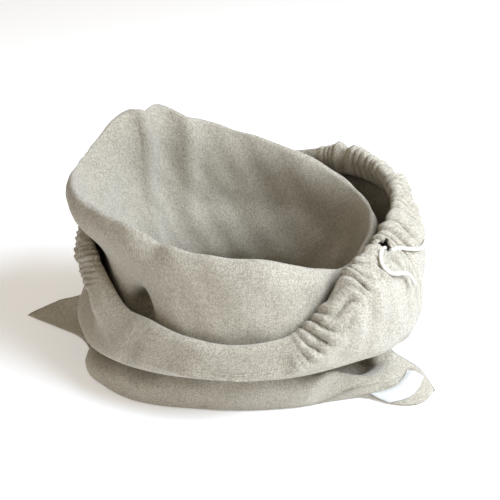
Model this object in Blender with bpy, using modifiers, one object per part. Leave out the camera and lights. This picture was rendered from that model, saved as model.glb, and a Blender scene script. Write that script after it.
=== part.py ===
"""Linen bread bag, standing slumped with its mouth turned down outside.

X runs along the bottom seam, -Y is the front, +Z is up, the floor is z = 0.
One length of linen, seamed at the bottom and the sides, makes the floor, the
inner wall, the turned-down cuff, the roll at its foot and the cord casing.
"""
import math

import bpy
import numpy as np
from mathutils import Matrix, Vector
from mathutils.bvhtree import BVHTree

# Sizes in metres
CLOTH_THICKNESS = 0.0012
HEM_DEPTH = 0.020
TUNNEL_WIDTH = 0.0052
CORD_WIDTH = 0.0024
LABEL_THICKNESS = 0.0010
LABEL_GAP = 0.0006
PANEL_WIDTH = 0.29
PANEL_GAP = 0.0015
RIM_HALF_WIDTH = 0.0042
EAR_REACH = 0.066

# Middle ellipse that every ring is measured from, outward positive
PLAN_A = 0.090
PLAN_B = 0.074
PLAN_X = -0.002
PLAN_Y = 0.004

# Puts the middle of the cloth's footprint at x = 0, y = 0
SHIFT = (0.01174, -0.0055, 0.0)

# Lower body at twelve stations, 0 degrees is the right side seam, 270 the front
BODY_COLUMNS = ("floor_out", "belly_out", "belly_z", "waist_out", "waist_z", "wall_out")
BODY = {
    0: (-0.004, 0.003, 0.017, -0.005, 0.032, -0.008),
    30: (-0.004, 0.003, 0.016, -0.006, 0.034, -0.007),
    60: (-0.003, 0.003, 0.016, -0.006, 0.036, -0.005),
    90: (-0.003, 0.003, 0.016, -0.006, 0.036, -0.004),
    120: (-0.002, 0.004, 0.016, -0.005, 0.036, -0.001),
    150: (-0.001, 0.005, 0.016, -0.004, 0.034, 0.001),
    180: (0.002, 0.007, 0.014, -0.004, 0.030, -0.004),
    210: (0.012, 0.016, 0.010, -0.011, 0.024, -0.014),
    240: (0.009, 0.012, 0.012, -0.012, 0.029, -0.017),
    270: (-0.006, -0.001, 0.015, -0.008, 0.033, -0.006),
    300: (-0.011, -0.006, 0.016, -0.010, 0.036, -0.006),
    330: (-0.007, -0.002, 0.018, -0.008, 0.036, -0.010),
}

# Rim, cuff, roll and mouth at the same stations, lean is the casing's slope in degrees
CUFF_COLUMNS = (
    "rim_out", "rim_z", "flap_out", "flap_low", "fold_out", "fold_z",
    "roll_out", "mouth_out", "mouth_z", "lean",
)
CUFF = {
    0: (-0.012, 0.087, -0.001, 0.004, 0.015, 0.030, 0.025, -0.001, 0.100, 48),
    30: (-0.003, 0.098, 0.002, 0.004, 0.014, 0.032, 0.024, 0.010, 0.112, 38),
    60: (0.000, 0.106, 0.003, 0.004, 0.013, 0.043, 0.020, 0.013, 0.119, 20),
    90: (0.000, 0.117, 0.004, 0.005, 0.013, 0.050, 0.018, 0.013, 0.106, 12),
    120: (0.006, 0.129, 0.006, 0.005, 0.013, 0.050, 0.018, 0.013, 0.098, 10),
    150: (0.010, 0.144, 0.008, 0.003, 0.013, 0.041, 0.017, 0.013, 0.094, 10),
    180: (0.013, 0.126, 0.000, -0.002, 0.013, 0.028, 0.006, 0.0085, 0.096, 12),
    210: (0.012, 0.121, -0.0025, -0.003, 0.013, 0.020, 0.004, 0.0050, 0.087, 14),
    240: (0.005, 0.120, 0.002, 0.002, 0.014, 0.028, 0.016, 0.007, 0.073, 12),
    270: (0.003, 0.112, 0.006, 0.006, 0.012, 0.033, 0.017, 0.011, 0.061, 8),
    300: (0.001, 0.109, 0.005, 0.006, 0.012, 0.036, 0.018, 0.011, 0.064, 12),
    330: (-0.007, 0.092, -0.001, 0.002, 0.013, 0.038, 0.021, 0.005, 0.098, 40),
}

# Bottom seam on the floor, from the right tip to the left tip
SEAM_COLUMNS = ("x", "y", "z")
SEAM = (
    (0.1275, 0.0040, 0.0006),
    (0.1225, -0.0130, 0.0006),
    (0.1080, -0.0195, 0.0006),
    (0.0900, -0.0180, 0.0006),
    (0.0680, -0.0300, 0.0006),
    (0.0300, -0.0450, 0.0006),
    (-0.0200, -0.0440, 0.0006),
    (-0.0600, -0.0300, 0.0006),
    (-0.1035, -0.0166, 0.0012),
    (-0.1510, -0.0075, 0.0040),
)

# Side seam of each ear, from its tip to the waist
RIGHT_EAR = (
    (0.1275, 0.0040, 0.0022),
    (0.1215, 0.0095, 0.0055),
    (0.1154, 0.0135, 0.0095),
    (0.0988, 0.0139, 0.0170),
    (0.0920, 0.0080, 0.0310),
)
GROOVE_MIDDLE = 0.026
GROOVE_WIDTH = 0.034
RIDGE_MIDDLE = 0.052
RIDGE_WIDTH = 0.018
LEFT_EAR = (
    (-0.1510, -0.0075, 0.0046),
    (-0.1400, -0.0050, 0.0110),
    (-0.1277, -0.0033, 0.0180),
    (-0.1120, -0.0040, 0.0260),
    (-0.0980, -0.0020, 0.0360),
)

# Knots of one column from the bottom seam to the hem's cut edge, and the extra rows between them
KNOTS = (
    "seam", "sole", "floor edge", "belly", "waist", "wall", "rim inside", "rim", "rim outside",
    "cuff", "cuff foot", "pocket", "fold", "fold outside", "roll", "casing foot", "casing",
    "mouth outside", "mouth", "mouth inside", "hem", "hem edge",
)
EXTRA_ROWS = {"seam": 1, "waist": 1, "wall": 1, "roll": 1}

# Ruched stretches of the casing in degrees, height of the gathers and their spacing
RUCHE_COLUMNS = ("first", "last", "height", "pitch")
RUCHES = ((-58, 66, 0.0034, 0.0130), (162, 216, 0.0026, 0.0120))
RIPPLE = 0.0007
RIPPLE_PITCH = 0.034

# Soft folds in the rim: middle and width in degrees, drop of the rim, inward push
RIM_FOLD_COLUMNS = ("middle", "width", "drop", "push")
RIM_FOLDS = (
    (149, 4.0, 0.001, 0.006),
    (139, 4.0, -0.001, -0.002),
    (129, 4.5, 0.001, 0.005),
    (255, 5.0, 0.004, 0.003),
    (222, 7.0, 0.002, 0.002),
)

# Hollow in the cuff above the mouth at the front left, middle and width in degrees
HOLLOW_TURN = 246
HOLLOW_WIDTH = 5.5
HOLLOW_DEPTH = 0.012

# Sags of the mouth between the stations: middle and width in degrees, and drop
MOUTH_SAG_COLUMNS = ("middle", "width", "drop")
MOUTH_SAGS = ((315, 11, 0.008), (243, 9, 0.007))

# Label corners on the right ear's front: from the side seam, and up the panel from the bottom seam
LABEL_COLUMNS = ("from_side_seam", "up_the_panel")
LABEL_CORNERS = ((0.0343, 0.0010), (0.0040, 0.0112), (0.0075, 0.0218), (0.0385, 0.0112))

# Cord slit in the casing
SLIT_TURN = 351
SLIT_HALF_WIDTH = 0.0065
SLIT_RADIUS = 0.078


def around(values, degrees):
    """Value at any turn on the smooth closed curve through the stations."""
    count = len(values)
    place = np.asarray(degrees, float) / 360 * count
    first = np.floor(place).astype(int)
    f = place - first
    before, here, after, beyond = (values[(first + step) % count] for step in (-1, 0, 1, 2))
    straight = (after - before) * f
    square = (2 * before - 5 * here + 4 * after - beyond) * f**2
    cube = (3 * here - before - 3 * after + beyond) * f**3
    return here + 0.5 * (straight + square + cube)


def turn_at(share):
    """Turn in degrees at a share of the way round the middle ellipse."""
    angle = np.linspace(0, 2 * math.pi, 1441)
    steps = np.hypot(np.diff(PLAN_A * np.cos(angle)), np.diff(PLAN_B * np.sin(angle)))
    way = np.concatenate([[0], np.cumsum(steps)])
    return np.degrees(np.interp(np.asarray(share) % 1, way / way[-1], angle))


def outward(degrees):
    """Unit vectors square to the middle ellipse."""
    angle = np.radians(degrees)
    way = np.stack([np.cos(angle) / PLAN_A, np.sin(angle) / PLAN_B, np.zeros_like(angle)], -1)
    return way / np.linalg.norm(way, axis=-1, keepdims=True)


def ring_point(degrees, out, height):
    """Point at a turn, a distance out from the middle ellipse and a height."""
    angle = np.radians(degrees)
    flat = [PLAN_X + PLAN_A * np.cos(angle), PLAN_Y + PLAN_B * np.sin(angle), np.zeros_like(angle)]
    point = np.stack(flat, -1) + np.asarray(out)[..., None] * outward(degrees)
    point[..., 2] = height
    return point


def along(rows, share):
    """Point at a share of the smooth open curve through the rows."""
    rows = np.asarray(rows, float)
    padded = np.concatenate([[2 * rows[0] - rows[1]], rows, [2 * rows[-1] - rows[-2]]])
    reach = np.concatenate([[0], np.cumsum(np.linalg.norm(np.diff(rows, axis=0), axis=1))])
    place = np.interp(np.asarray(share) * reach[-1], reach, np.arange(len(rows)))
    first = np.minimum(np.floor(place).astype(int), len(rows) - 2)
    f = (place - first)[..., None]
    before, here, after, beyond = (padded[first + step] for step in (0, 1, 2, 3))
    straight = (after - before) * f
    square = (2 * before - 5 * here + 4 * after - beyond) * f**2
    cube = (3 * here - before - 3 * after + beyond) * f**3
    return here + 0.5 * (straight + square + cube)


def stations(table, columns, degrees):
    """Every named column of a station table at the given turns."""
    rows = np.array([table[key] for key in sorted(table)], float)
    return {name: around(rows[:, place], degrees) for place, name in enumerate(columns)}


def fade(value):
    """Soft step from 0 to 1."""
    value = np.clip(value, 0, 1)
    return value * value * (3 - 2 * value)


def window(degrees, first, last, edge=9):
    """1 inside a stretch of turns and 0 outside, with soft ends."""
    middle, half = (first + last) / 2, (last - first) / 2
    away = np.abs((np.asarray(degrees) - middle + 180) % 360 - 180)
    return fade((half - away) / edge + 0.5)


def hump(degrees, middle, width):
    """Soft bump round one turn, 1 at its middle."""
    return np.exp(-(((np.asarray(degrees) - middle + 180) % 360 - 180) / width) ** 2)


def mouth_sag(degrees):
    """How far the mouth hangs below the line of its stations."""
    return sum(drop * hump(degrees, middle, width) for middle, width, drop in MOUTH_SAGS)


def gathers(share, degrees):
    """Height of the gathers above the smooth casing at each column."""
    way = share * 0.52
    height = RIPPLE * (0.5 - 0.5 * np.cos(2 * math.pi * way / RIPPLE_PITCH))
    for first, last, size, pitch in RUCHES:
        wave = 2 * math.pi * (way / pitch + 0.16 * np.sin(2 * math.pi * way / 0.061))
        uneven = 0.8 + 0.2 * np.sin(2 * math.pi * way / 0.043 + 1)
        height = height + size * uneven * window(degrees, first, last) * (0.5 - 0.5 * np.cos(wave))
    return height


def column_knots(share):
    """Knots of the columns at the given shares of the way round, as rows x columns x 3."""
    share = np.asarray(share, float) % 1
    degrees = turn_at(share)
    body = stations(BODY, BODY_COLUMNS, degrees)
    cuff = stations(CUFF, CUFF_COLUMNS, degrees)
    floor = np.full_like(degrees, CLOTH_THICKNESS / 2)
    front = share > 0.5
    from_right = np.where(front, 1 - share, share) / 0.5
    seam = along(SEAM, from_right)
    edge = ring_point(degrees, body["floor_out"], floor)
    belly = ring_point(degrees, body["belly_out"], body["belly_z"])
    waist = ring_point(degrees, body["waist_out"], body["waist_z"])
    low = [seam, (seam + edge) / 2, edge, belly, waist]

    # Ears: the lower knots lean towards a flat corner of doubled cloth
    side = np.where(front, 1.0, -1.0)
    ears = (
        (RIGHT_EAR, from_right * PANEL_WIDTH, (0, 0, 1)),
        (LEFT_EAR, (1 - from_right) * PANEL_WIDTH, (0, -1, 0.1)),
    )
    for ear, distance, apart in ears:
        weight = fade(1 - distance / EAR_REACH)
        spread = PANEL_GAP * np.clip(distance / 0.006, 0, 1) * fade(1.4 - distance / EAR_REACH)
        for place in range(1, 5):
            pull = weight * (0.6 if place == 4 else 1.0)
            target = seam + np.array(ear[place]) - np.array(ear[0])
            if ear is RIGHT_EAR:
                target[:, 2] = np.where(front, target[:, 2], target[:, 2] * weight**3)
            low[place] = low[place] * (1 - pull[:, None]) + target * pull[:, None]
            low[place] = low[place] + (side * spread)[:, None] * np.array(apart)
    # Groove behind the raised front of the right ear
    groove = np.where(front, np.exp(-((from_right * PANEL_WIDTH - GROOVE_MIDDLE) / GROOVE_WIDTH) ** 2), 0.0)
    groove = groove * fade(from_right * PANEL_WIDTH / 0.007)
    ridge = np.where(front, np.exp(-((from_right * PANEL_WIDTH - RIDGE_MIDDLE) / RIDGE_WIDTH) ** 2), 0.0)
    low[3] = low[3] + groove[:, None] * np.array([0.002, -0.004, -0.0045])
    low[3] = low[3] + ridge[:, None] * np.array([0, 0, 0.009])
    low[4] = low[4] + groove[:, None] * np.array([-0.009, 0.010, -0.031])
    low[4][:, 2] = np.maximum(low[4][:, 2], 0.0050)
    for knot in low:
        knot[:, 2] = np.maximum(knot[:, 2], CLOTH_THICKNESS / 2)

    drop = np.zeros_like(degrees)
    push = np.zeros_like(degrees)
    for middle, width, fall, inward in RIM_FOLDS:
        bump = hump(degrees, middle, width)
        drop = drop + fall * bump
        push = push + inward * bump
    rim_z = cuff["rim_z"] - drop
    rim_out = cuff["rim_out"] - push
    tall = rim_z - cuff["fold_z"]
    hollow = HOLLOW_DEPTH * hump(degrees, HOLLOW_TURN, HOLLOW_WIDTH)

    cuff["mouth_z"] = cuff["mouth_z"] - mouth_sag(degrees)
    lean = np.radians(cuff["lean"])
    down = np.stack([np.sin(lean), -np.cos(lean)])
    square = np.stack([np.cos(lean), np.sin(lean)])
    top = np.stack([cuff["mouth_out"], cuff["mouth_z"]])
    half_tunnel = TUNNEL_WIDTH / 2
    lift = gathers(share, degrees)
    fold = np.stack([cuff["fold_out"], cuff["fold_z"]])
    fold_outside = fold + np.array([[0.003], [0.005]])
    foot = top + square * (half_tunnel + lift) + down * HEM_DEPTH
    roll = (fold_outside + foot) / 2
    roll[0] = cuff["roll_out"] + 0.55 * lift
    upper = [
        (body["wall_out"] - 0.5 * push, (body["waist_z"] + rim_z) / 2),
        (rim_out - RIM_HALF_WIDTH, rim_z - 0.0055),
        (rim_out, rim_z),
        (rim_out + RIM_HALF_WIDTH, rim_z - 0.0055),
        (cuff["flap_out"] - 0.4 * push, cuff["fold_z"] + 0.62 * tall),
        (cuff["flap_low"] - hollow, cuff["fold_z"] + 0.28 * tall),
        fold + np.array([[-0.008], [0.004]]),
        fold + np.array([[-0.003], [0.0]]),
        fold_outside,
        roll,
        foot,
        top + square * (half_tunnel + 0.85 * lift) + down * 0.0105,
        top + square * (half_tunnel + 0.4 * lift) + down * 0.0030,
        top - down * 0.30 * lift,
        top - square * (half_tunnel + 0.1 * lift) + down * 0.0030,
        top - square * (half_tunnel + 0.15 * lift) + down * 0.0110,
        top - square * half_tunnel + down * HEM_DEPTH,
    ]
    return np.array(low + [ring_point(degrees, out, height) for out, height in upper])


def row_points(knots, places):
    """Points at the given places, counted in knots, on the smooth curve down every column."""
    steps = np.linalg.norm(np.diff(knots, axis=0), axis=2)[..., None]
    steps = np.maximum(steps, 0.0004)
    slopes = np.diff(knots, axis=0) / steps
    ways = np.empty_like(knots)
    ways[1:-1] = (slopes[:-1] * steps[1:] + slopes[1:] * steps[:-1]) / (steps[1:] + steps[:-1])
    ways[0], ways[-1] = slopes[0], slopes[-1]
    first = np.minimum(np.floor(places).astype(int), len(knots) - 2)
    f = (places - first)[:, None, None]
    step = steps[first]
    start = knots[first] * (2 * f**3 - 3 * f**2 + 1) + ways[first] * step * (f**3 - 2 * f**2 + f)
    end = knots[first + 1] * (3 * f**2 - 2 * f**3) + ways[first + 1] * step * (f**3 - f**2)
    points = start + end
    points[..., 2] = np.maximum(points[..., 2], CLOTH_THICKNESS / 2)
    return points


# Scene
def material(name, colour, roughness):
    """Plain Principled material."""
    made = bpy.data.materials.new(name)
    made.use_nodes = True
    shader = made.node_tree.nodes["Principled BSDF"]
    shader.inputs["Base Color"].default_value = (*colour, 1)
    shader.inputs["Roughness"].default_value = roughness
    return made


def finish(item, collection, skin):
    """Apply the modifiers, add the material and shade smooth."""
    collection.objects.link(item)
    graph = bpy.context.evaluated_depsgraph_get()
    mesh = bpy.data.meshes.new_from_object(item.evaluated_get(graph))
    name = item.name
    bpy.data.objects.remove(item)
    solid = bpy.data.objects.new(name, mesh)
    mesh.name = name
    mesh.materials.clear()
    mesh.materials.append(skin)
    for face in mesh.polygons:
        face.use_smooth = True
    collection.objects.link(solid)
    return solid


def sheet(name, points, faces, thickness, collection, skin):
    """Solid sheet made by thickening an open surface both ways."""
    mesh = bpy.data.meshes.new(name)
    mesh.from_pydata([tuple(point) for point in points], [], faces)
    mesh.validate()
    item = bpy.data.objects.new(name, mesh)
    solidify = item.modifiers.new("thickness", "SOLIDIFY")
    solidify.thickness = thickness
    solidify.offset = 0
    solidify.use_even_offset = False
    return finish(item, collection, skin)


def column_shares():
    """Columns round the bag, closer together where the casing is ruched."""
    half_way = np.linspace(0, 0.5, 2001)
    pitch = np.where(half_way < 0.143, 0.0031, np.where(half_way > 0.405, 0.0034, 0.0090))
    soft = np.convolve(np.pad(pitch, 60, mode="edge"), np.ones(121) / 121, mode="valid")
    count = np.concatenate([[0], np.cumsum(np.diff(half_way) * 0.52 / soft[1:])])
    marks = np.interp(np.linspace(0, count[-1], round(count[-1]) + 1), count, half_way)
    return np.concatenate([marks, 1 - marks[-2:0:-1]])


def bag_surface():
    """Points and faces of the cloth's middle surface, closed along the bottom seam."""
    shares = column_shares()
    places = []
    for place, name in enumerate(KNOTS[:-1]):
        extra = EXTRA_ROWS.get(name, 0)
        places.extend(place + step / (extra + 1) for step in range(extra + 1))
    places = np.array(places + [len(KNOTS) - 1])
    points = row_points(column_knots(shares), places)
    rows, columns = points.shape[:2]
    numbers = np.arange(rows * columns).reshape(rows, columns)
    numbers[0, columns // 2 + 1:] = numbers[0, 1:columns // 2][::-1]
    slit_row = int(np.argmin(np.abs(places - KNOTS.index("casing"))))
    faces = []
    for row in range(rows - 1):
        for column in range(columns):
            after = (column + 1) % columns
            middle = turn_at((shares[column] + (shares[after] if after else 1)) / 2)
            away = math.radians(abs((middle - SLIT_TURN + 180) % 360 - 180)) * SLIT_RADIUS
            if row == slit_row and away < SLIT_HALF_WIDTH:
                continue
            here, beyond = numbers[row], numbers[row + 1]
            faces.append((int(here[column]), int(here[after]), int(beyond[after]), int(beyond[column])))
    used = sorted({n for face in faces for n in face})
    place_of = {n: k for k, n in enumerate(used)}
    flat = points.reshape(-1, 3)[used]
    return flat, [tuple(place_of[n] for n in face) for face in faces]


def casing_point(degrees, down, out):
    """Point a distance down the casing from the mouth and a distance out from its middle."""
    cuff = stations(CUFF, CUFF_COLUMNS, np.array([float(degrees) % 360]))
    height = cuff["mouth_z"] - mouth_sag(degrees)
    lean = np.radians(cuff["lean"])
    reach = cuff["mouth_out"] + np.cos(lean) * out + np.sin(lean) * down
    return ring_point(np.array([float(degrees)]), reach, height + np.sin(lean) * out - np.cos(lean) * down)[0]


# Cord in the tunnel, then its two ends outside in millimetres: beside the slit, down the casing and out
TUNNEL_DEPTH = 0.0068
END_COLUMNS = ("beside", "down", "out")
LONG_END = (
    (14, 6.8, 0.0), (9.8, 6.8, 0.0), (5.8, 6.2, 1.4), (2.4, 5.4, 4.0), (-1.6, 4.6, 6.0),
    (-6.2, 4.2, 6.8), (-10.6, 5.9, 7.0), (-13.2, 9.8, 7.0), (-13.0, 14.2, 7.0), (-10.8, 18.0, 7.2),
    (-7.2, 20.6, 7.2), (-3.0, 22.4, 6.6), (0.6, 25.2, 5.8), (2.2, 29.4, 4.8), (2.0, 33.6, 3.6),
)
SHORT_END = (
    (-14, 6.8, 0.0), (-9.8, 6.8, 0.0), (-5.8, 7.4, 1.4), (-2.4, 8.2, 4.0), (1.6, 8.8, 6.2),
    (6.0, 10.0, 7.2), (10.0, 12.8, 7.4), (13.2, 16.6, 7.6), (16.8, 20.4, 7.8),
    (21.0, 23.6, 6.8), (25.8, 25.6, 5.8), (30.6, 26.2, 5.6),
)


def cord_line():
    """Centre line of the drawstring from one free end to the other."""
    ends = []
    for rows in (LONG_END, SHORT_END):
        spots = []
        for beside, down, out in rows:
            turn = SLIT_TURN + math.degrees(beside / 1000 / SLIT_RADIUS)
            spots.append(casing_point(turn, down / 1000, out / 1000))
        ends.append(along(spots, np.linspace(0, 1, 15)))
    step = math.degrees(LONG_END[0][0] / 1000 / SLIT_RADIUS)
    turns = np.linspace(SLIT_TURN - 360 + step, SLIT_TURN - step, 53)[1:-1]
    tunnel = [casing_point(turn, TUNNEL_DEPTH, 0) for turn in turns]
    return np.array(list(ends[0][::-1]) + tunnel + list(ends[1]))


def label_surface(cloth):
    """Points and faces of the label, a little above the front of the right ear."""
    over, up = np.meshgrid(np.linspace(0, 1, 12), np.linspace(0, 1, 6))
    low_left, low_right, high_right, high_left = (np.array(row) for row in LABEL_CORNERS)
    low = low_left + (low_right - low_left) * over[..., None]
    high = high_left + (high_right - high_left) * over[..., None]
    spots = (low + (high - low) * up[..., None]).reshape(-1, 2)
    panel = row_points(column_knots(1 - spots[:, 0] / PANEL_WIDTH / 2), np.linspace(0, 4, 161))
    steps = np.linalg.norm(np.diff(panel, axis=0), axis=2)
    reach = np.concatenate([np.zeros((1, len(spots))), np.cumsum(steps, axis=0)])
    height = LABEL_GAP + LABEL_THICKNESS / 2
    tree = BVHTree.FromPolygons([v.co for v in cloth.vertices], [tuple(f.vertices) for f in cloth.polygons])
    points = []
    for column, (_, mark) in enumerate(spots):
        spot = Vector([np.interp(mark, reach[:, column], panel[:, column, axis]) for axis in range(3)])
        near, square, _, _ = tree.find_nearest(spot + Vector((0.001, -0.002, 0.004)))
        points.append(near + square * height)
    corners = [r * 12 + c for r in range(5) for c in range(11)]
    return points, [(n, n + 1, n + 13, n + 12) for n in corners]


def main():
    for item in list(bpy.data.objects):
        bpy.data.objects.remove(item)
    parts = bpy.data.collections.new("linen bread bag")
    bpy.context.scene.collection.children.link(parts)

    linen = material("natural linen", (0.55, 0.50, 0.42), 0.9)
    points, faces = bag_surface()
    cloth = sheet("bag_cloth", points, faces, CLOTH_THICKNESS, parts, linen)

    curve = bpy.data.curves.new("drawstring", "CURVE")
    curve.dimensions = "3D"
    curve.bevel_depth = CORD_WIDTH / 2
    curve.bevel_resolution = 2
    curve.use_fill_caps = True
    line = cord_line()
    spline = curve.splines.new("POLY")
    spline.points.add(len(line) - 1)
    for point, spot in zip(spline.points, line):
        point.co = (*spot, 1)
    cotton = material("undyed cotton cord", (0.75, 0.70, 0.60), 0.85)
    finish(bpy.data.objects.new("drawstring", curve), parts, cotton)

    points, faces = label_surface(cloth.data)
    tape = material("woven label tape", (0.85, 0.84, 0.80), 0.7)
    sheet("label", points, faces, LABEL_THICKNESS, parts, tape)
    for item in parts.objects:
        item.data.transform(Matrix.Translation(SHIFT))


main()
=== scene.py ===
"""Looks of the linen bread bag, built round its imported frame."""

import math

import bpy
import numpy as np
from mathutils import Matrix, Vector


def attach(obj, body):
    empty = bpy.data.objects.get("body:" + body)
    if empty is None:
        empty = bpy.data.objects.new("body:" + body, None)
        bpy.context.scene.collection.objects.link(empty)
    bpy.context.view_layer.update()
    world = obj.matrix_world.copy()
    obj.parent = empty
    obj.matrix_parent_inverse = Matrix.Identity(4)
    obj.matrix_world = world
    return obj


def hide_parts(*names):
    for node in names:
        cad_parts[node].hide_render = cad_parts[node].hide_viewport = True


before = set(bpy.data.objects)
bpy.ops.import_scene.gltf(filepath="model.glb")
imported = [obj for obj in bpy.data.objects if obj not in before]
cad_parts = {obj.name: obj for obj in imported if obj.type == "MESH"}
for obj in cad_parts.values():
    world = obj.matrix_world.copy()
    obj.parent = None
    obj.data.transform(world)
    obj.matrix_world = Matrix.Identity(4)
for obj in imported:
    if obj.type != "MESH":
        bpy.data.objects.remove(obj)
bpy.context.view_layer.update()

# Camera
# The photograph is taken from a little to the right of the front, looking down about 28 degrees.
CAMERA_TURN = math.radians(20)
CAMERA_HEIGHT = math.radians(28)
CAMERA_DISTANCE = 0.80
CAMERA_LENS = 88.7
AIM_RIGHT = 0.0065
AIM_UP = 0.0685
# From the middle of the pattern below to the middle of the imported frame
SHIFT = Vector((0.01174, -0.0055, 0.0))

back = Vector((
    math.sin(CAMERA_TURN) * math.cos(CAMERA_HEIGHT),
    -math.cos(CAMERA_TURN) * math.cos(CAMERA_HEIGHT),
    math.sin(CAMERA_HEIGHT),
))
right = Vector((math.cos(CAMERA_TURN), math.sin(CAMERA_TURN), 0))
up = back.cross(right)
camera_data = bpy.data.cameras.new("camera")
camera_data.lens = CAMERA_LENS
camera_data.dof.use_dof = False
camera = bpy.data.objects.new("camera", camera_data)
place = back * CAMERA_DISTANCE + right * AIM_RIGHT + up * AIM_UP + SHIFT
camera.matrix_world = Matrix((
    (right.x, up.x, back.x, place.x),
    (right.y, up.y, back.y, place.y),
    (right.z, up.z, back.z, place.z),
    (0, 0, 0, 1),
))
bpy.context.scene.collection.objects.link(camera)
bpy.context.scene.camera = camera

# Drawstring
# One off-white cotton cord of twisted strands. It runs round in the casing at the mouth and comes out
# of a slit at the right, where its two free ends lie over the gathers.
CORD_WIDTH = 0.0024
CORD_LAY = 0.0052
TUNNEL_DEPTH = 0.0068
SLIT_TURN = 351
SLIT_RADIUS = 0.078
# Ellipse round the middle of the bag: half its length, half its depth and its centre
PLAN_A = 0.090
PLAN_B = 0.074
PLAN_X = -0.002
PLAN_Y = 0.004

# Rim, cuff, roll and mouth at twelve turns, 0 degrees is the right side seam, 270 the front
CUFF_COLUMNS = (
    "rim_out", "rim_z", "flap_out", "flap_low", "fold_out", "fold_z",
    "roll_out", "mouth_out", "mouth_z", "lean",
)
CUFF = {
    0: (-0.012, 0.087, -0.001, 0.004, 0.015, 0.030, 0.025, -0.001, 0.100, 48),
    30: (-0.003, 0.098, 0.002, 0.004, 0.014, 0.032, 0.024, 0.010, 0.112, 38),
    60: (0.000, 0.106, 0.003, 0.004, 0.013, 0.043, 0.020, 0.013, 0.119, 20),
    90: (0.000, 0.117, 0.004, 0.005, 0.013, 0.050, 0.018, 0.013, 0.106, 12),
    120: (0.006, 0.129, 0.006, 0.005, 0.013, 0.050, 0.018, 0.013, 0.098, 10),
    150: (0.010, 0.144, 0.008, 0.003, 0.013, 0.041, 0.017, 0.013, 0.094, 10),
    180: (0.013, 0.126, -0.003, -0.003, 0.012, 0.027, 0.005, 0.0050, 0.096, 12),
    210: (0.012, 0.121, -0.0025, -0.003, 0.011, 0.019, 0.003, 0.0050, 0.087, 14),
    240: (0.005, 0.120, 0.002, 0.002, 0.014, 0.028, 0.016, 0.007, 0.073, 12),
    270: (0.003, 0.112, 0.006, 0.006, 0.012, 0.033, 0.017, 0.011, 0.061, 8),
    300: (0.001, 0.109, 0.005, 0.006, 0.012, 0.036, 0.018, 0.011, 0.064, 12),
    330: (-0.007, 0.092, -0.001, 0.002, 0.013, 0.038, 0.021, 0.005, 0.098, 40),
}

# Where the mouth hangs lower: middle and width in degrees, drop
MOUTH_SAGS = ((315, 11, 0.008), (243, 9, 0.007))

# The two ends in millimetres: beside the slit, down the casing and out
LONG_END = (
    (14, 6.8, 0.0), (9.8, 6.8, 0.0), (5.8, 6.2, 1.4), (2.4, 5.4, 4.0), (-1.6, 4.6, 6.0),
    (-6.2, 4.2, 6.8), (-10.6, 5.9, 7.0), (-13.2, 9.8, 7.0), (-13.0, 14.2, 7.0), (-10.8, 18.0, 7.2),
    (-7.2, 20.6, 7.2), (-3.0, 22.4, 6.6), (0.6, 25.2, 5.8), (2.2, 29.4, 4.8), (2.0, 33.6, 3.6),
)
SHORT_END = (
    (-14, 6.8, 0.0), (-9.8, 6.8, 0.0), (-5.8, 7.4, 1.4), (-2.4, 8.2, 4.0), (1.6, 8.8, 6.2),
    (6.0, 10.0, 7.2), (10.0, 12.8, 7.4), (13.2, 16.6, 7.6), (16.8, 20.4, 7.8),
    (21.0, 23.6, 6.8), (25.8, 25.6, 5.8), (30.6, 26.2, 5.6),
)


def around(values, degrees):
    """Value at any turn on the smooth closed curve through the stations."""
    count = len(values)
    place = np.asarray(degrees, float) / 360 * count
    first = np.floor(place).astype(int)
    f = place - first
    before, here, after, beyond = (values[(first + step) % count] for step in (-1, 0, 1, 2))
    straight = (after - before) * f
    square = (2 * before - 5 * here + 4 * after - beyond) * f**2
    cube = (3 * here - before - 3 * after + beyond) * f**3
    return here + 0.5 * (straight + square + cube)


def stations(table, columns, degrees):
    """Every named column of a station table at the given turns."""
    rows = np.array([table[key] for key in sorted(table)], float)
    return {name: around(rows[:, place], degrees) for place, name in enumerate(columns)}


def outward(degrees):
    """Unit vectors square to the middle ellipse."""
    angle = np.radians(degrees)
    way = np.stack([np.cos(angle) / PLAN_A, np.sin(angle) / PLAN_B, np.zeros_like(angle)], -1)
    return way / np.linalg.norm(way, axis=-1, keepdims=True)


def ring_point(degrees, out, height):
    """Point at a turn, a distance out from the middle ellipse and a height."""
    angle = np.radians(degrees)
    flat = [PLAN_X + PLAN_A * np.cos(angle), PLAN_Y + PLAN_B * np.sin(angle), np.zeros_like(angle)]
    point = np.stack(flat, -1) + np.asarray(out)[..., None] * outward(degrees)
    point[..., 2] = height
    return point


def hump(degrees, middle, width):
    """Soft bump round one turn, 1 at its middle."""
    return np.exp(-(((np.asarray(degrees) - middle + 180) % 360 - 180) / width) ** 2)


def mouth_sag(degrees):
    """How far the mouth hangs below the line of its stations."""
    return sum(drop * hump(degrees, middle, width) for middle, width, drop in MOUTH_SAGS)


def casing_point(degrees, down, out):
    """Point a distance down the casing from the mouth and a distance out from its middle."""
    cuff = stations(CUFF, CUFF_COLUMNS, np.array([float(degrees) % 360]))
    height = cuff["mouth_z"] - mouth_sag(degrees)
    lean = np.radians(cuff["lean"])
    reach = cuff["mouth_out"] + np.cos(lean) * out + np.sin(lean) * down
    return ring_point(np.array([float(degrees)]), reach, height + np.sin(lean) * out - np.cos(lean) * down)[0]


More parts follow.
